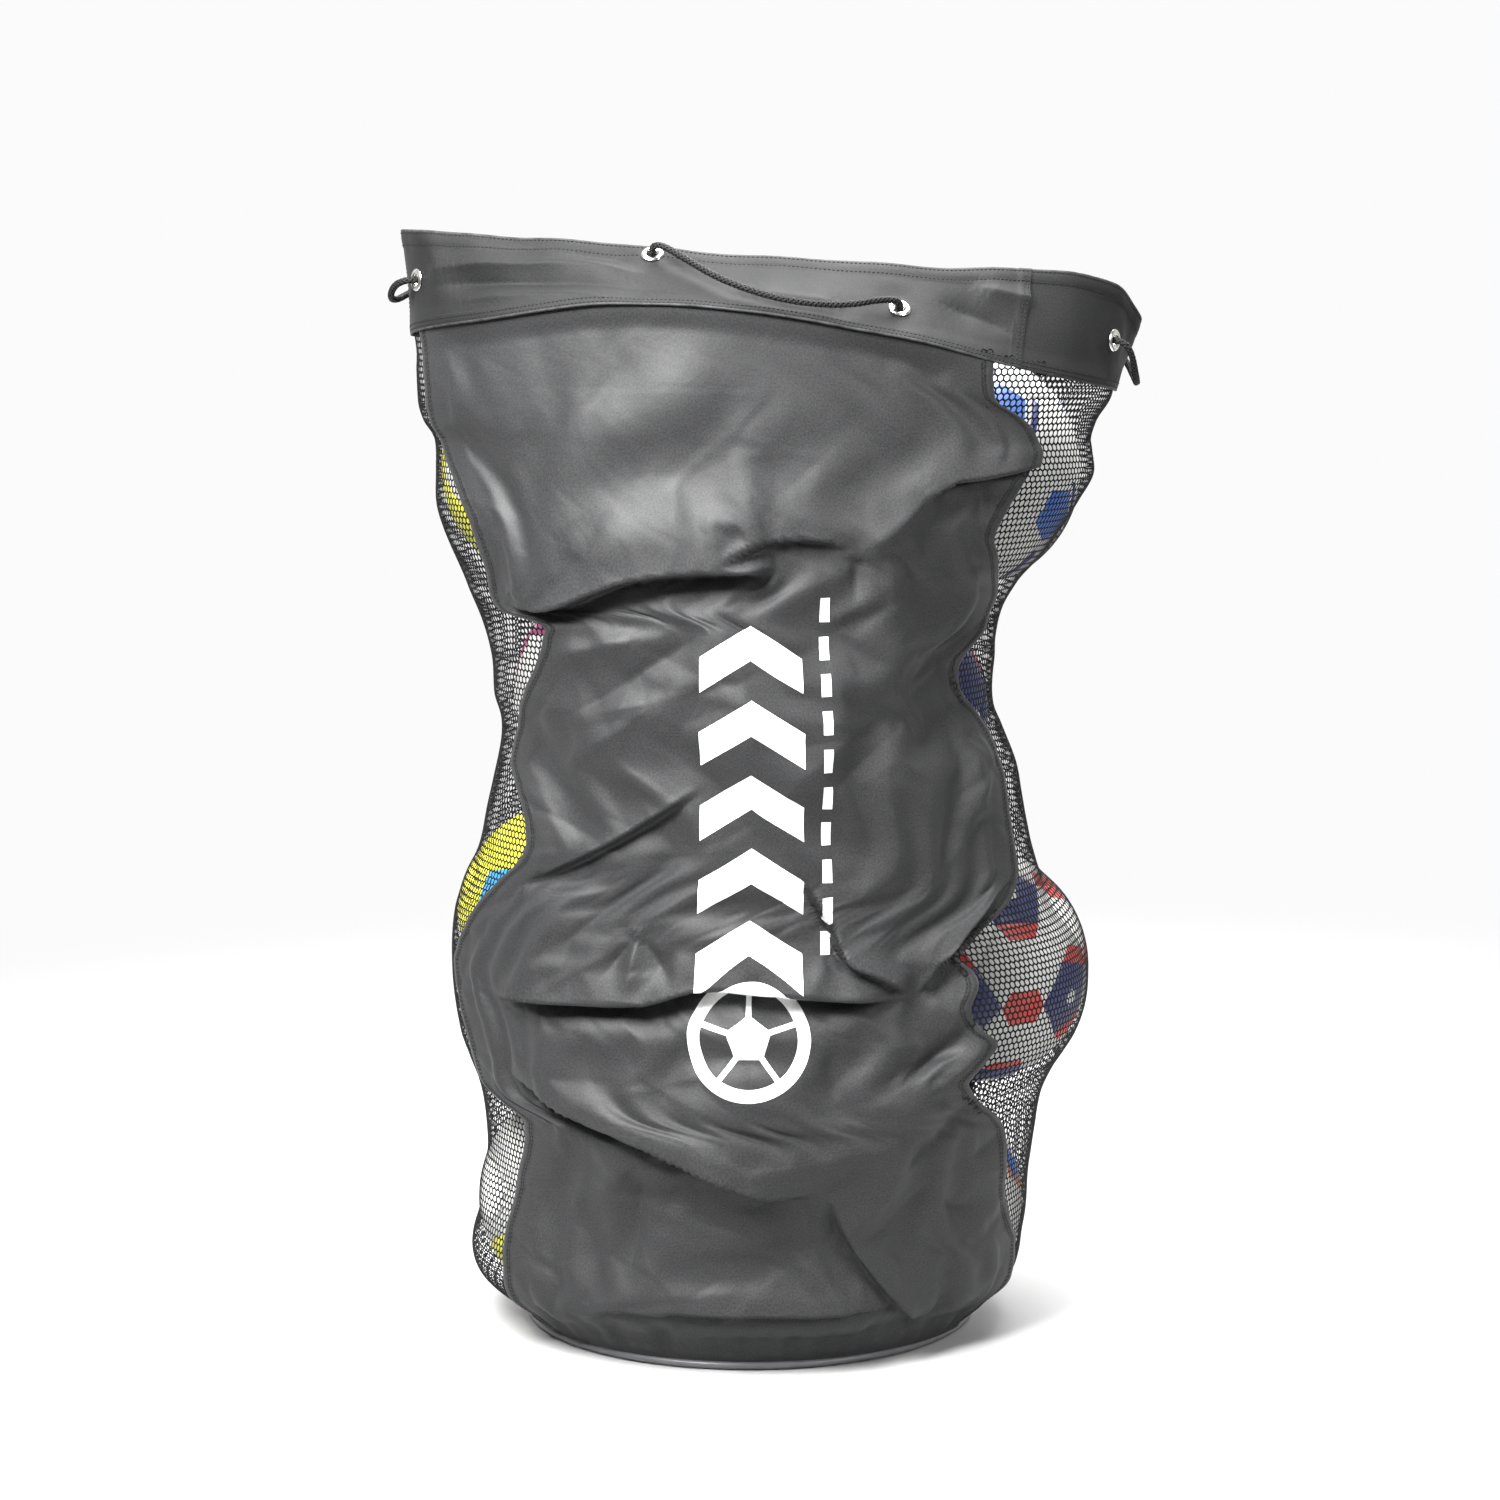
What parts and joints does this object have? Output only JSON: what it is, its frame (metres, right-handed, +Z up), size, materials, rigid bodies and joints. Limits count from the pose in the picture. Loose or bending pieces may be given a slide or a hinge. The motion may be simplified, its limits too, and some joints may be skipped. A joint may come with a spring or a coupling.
{
  "type": "mesh ball bag",
  "caption": "Tall drawstring sack with a solid front and back, net sides and a stiff round base, standing full of footballs.",
  "frame": {"origin": "centre of the round base, on the floor", "axes": "+Z up, the printed front faces -Y, +X to the right as seen from the front"},
  "size_m": [0.6832, 0.5397, 1.0006],
  "materials": {
    "coated_fabric": "satin coated weave",
    "net_mesh": "knitted hexagonal net",
    "stiffener": "matte board",
    "lining": "plain weave",
    "piping": "smooth satin piping",
    "eyelet_metal": "nickel plated",
    "cord": "braided",
    "lock_plastic": "fine matte",
    "spring_steel": "bright wire",
    "webbing": "ribbed webbing",
    "ball_white_yellow": "smooth synthetic cover",
    "ball_white_blue": "smooth synthetic cover",
    "ball_white_red": "smooth synthetic cover",
    "ball_white_red_navy": "smooth synthetic cover",
    "ball_white_blue_yellow": "smooth synthetic cover",
    "ball_red_navy": "smooth synthetic cover",
    "ball_white_magenta": "smooth synthetic cover",
    "ball_yellow_white": "smooth synthetic cover"
  },
  "bodies": {
    "bag": {"back_panel": "coated_fabric", "ball_01": "ball_white_yellow", "ball_02": "ball_white_blue", "ball_03": "ball_white_red", "ball_04": "ball_white_blue", "ball_05": "ball_white_red_navy", "ball_06": "ball_white_yellow", "ball_07": "ball_white_blue_yellow", "ball_08": "ball_white_red", "ball_09": "ball_red_navy", "ball_10": "ball_white_magenta", "ball_11": "ball_white_yellow", "ball_12": "ball_white_red", "base_board": "stiffener", "base_cover": "coated_fabric", "base_lining": "lining", "base_piping": "piping", "collar_back": "coated_fabric", "collar_front": "coated_fabric", "cord_end_knot": "cord", "drawcord": "cord", "eyelet_1": "eyelet_metal", "eyelet_2": "eyelet_metal", "eyelet_3": "eyelet_metal", "eyelet_4": "eyelet_metal", "eyelet_5": "eyelet_metal", "eyelet_6": "eyelet_metal", "eyelet_7": "eyelet_metal", "eyelet_8": "eyelet_metal", "eyelet_washer_1": "eyelet_metal", "eyelet_washer_2": "eyelet_metal", "eyelet_washer_3": "eyelet_metal", "eyelet_washer_4": "eyelet_metal", "eyelet_washer_5": "eyelet_metal", "eyelet_washer_6": "eyelet_metal", "eyelet_washer_7": "eyelet_metal", "eyelet_washer_8": "eyelet_metal", "front_panel": "coated_fabric", "mesh_left": "net_mesh", "mesh_right": "net_mesh", "shoulder_strap": "webbing", "strap_patch_bottom": "coated_fabric", "strap_patch_top": "coated_fabric"},
    "top_ball_right": {"ball_13": "ball_white_blue"},
    "top_ball_left": {"ball_14": "ball_yellow_white"},
    "cord_lock": {"cord_lock_body": "lock_plastic", "cord_lock_spring": "spring_steel"},
    "lock_button": {"cord_lock_button": "lock_plastic"},
    "slider": {"strap_slider": "lock_plastic"}
  },
  "joints": [
    {"name": "top_right_ball_lift", "type": "slide", "parent": "bag", "child": "top_ball_right", "axis": [0, 0, 1], "range_m": [0, 0.36]},
    {"name": "top_left_ball_lift", "type": "slide", "parent": "bag", "child": "top_ball_left", "axis": [0, 0, 1], "range_m": [0, 0.36]},
    {"name": "cord_lock_slide", "type": "slide", "parent": "bag", "child": "cord_lock", "axis": [0, 0, 1], "range_m": [-0.05, 0]},
    {"name": "lock_button_press", "type": "slide", "parent": "cord_lock", "child": "lock_button", "axis": [-1, 0, 0], "range_m": [0, 0.003], "stiffness_N_per_m": 500},
    {"name": "strap_slider_slide", "type": "slide", "parent": "bag", "child": "slider", "axis": [0, 0, 1], "range_m": [-0.04, 0.04]}
  ]
}
